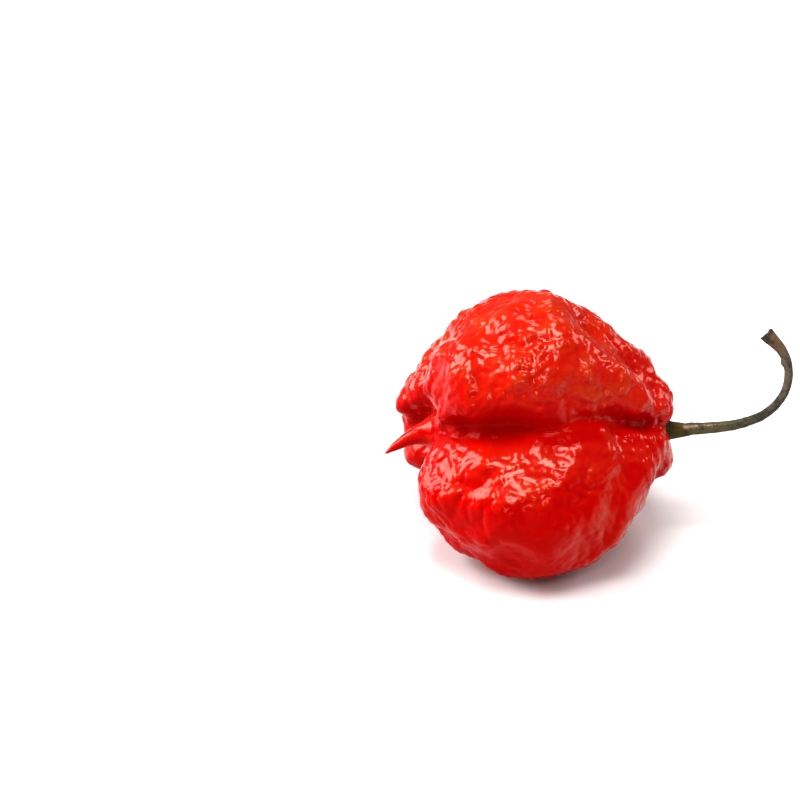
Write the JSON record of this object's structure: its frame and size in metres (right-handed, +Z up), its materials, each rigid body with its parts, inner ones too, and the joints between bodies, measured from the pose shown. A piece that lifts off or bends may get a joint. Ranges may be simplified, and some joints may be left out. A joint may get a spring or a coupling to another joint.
{
  "type": "carolina reaper pepper",
  "caption": "Ripe wrinkled chilli pepper lying on its side, lobed red pod with a short pointed tail and a hooked green-brown stem.",
  "frame": {"origin": "on the surface that the pepper lies on, under the middle of its box", "axes": "+X along the pod from its tail to its stem, +Z up, -Y to the side that the deep front furrow faces"},
  "size_m": [0.0676, 0.0498, 0.044],
  "materials": {
    "ripe_skin": "glossy wrinkled skin",
    "calyx_green": "dull waxy green",
    "stem_olive": "dry ribbed stem with corky marks"
  },
  "bodies": {
    "root": {"pod": "ripe_skin", "calyx": "calyx_green", "pedicel": "stem_olive"}
  },
  "joints": []
}
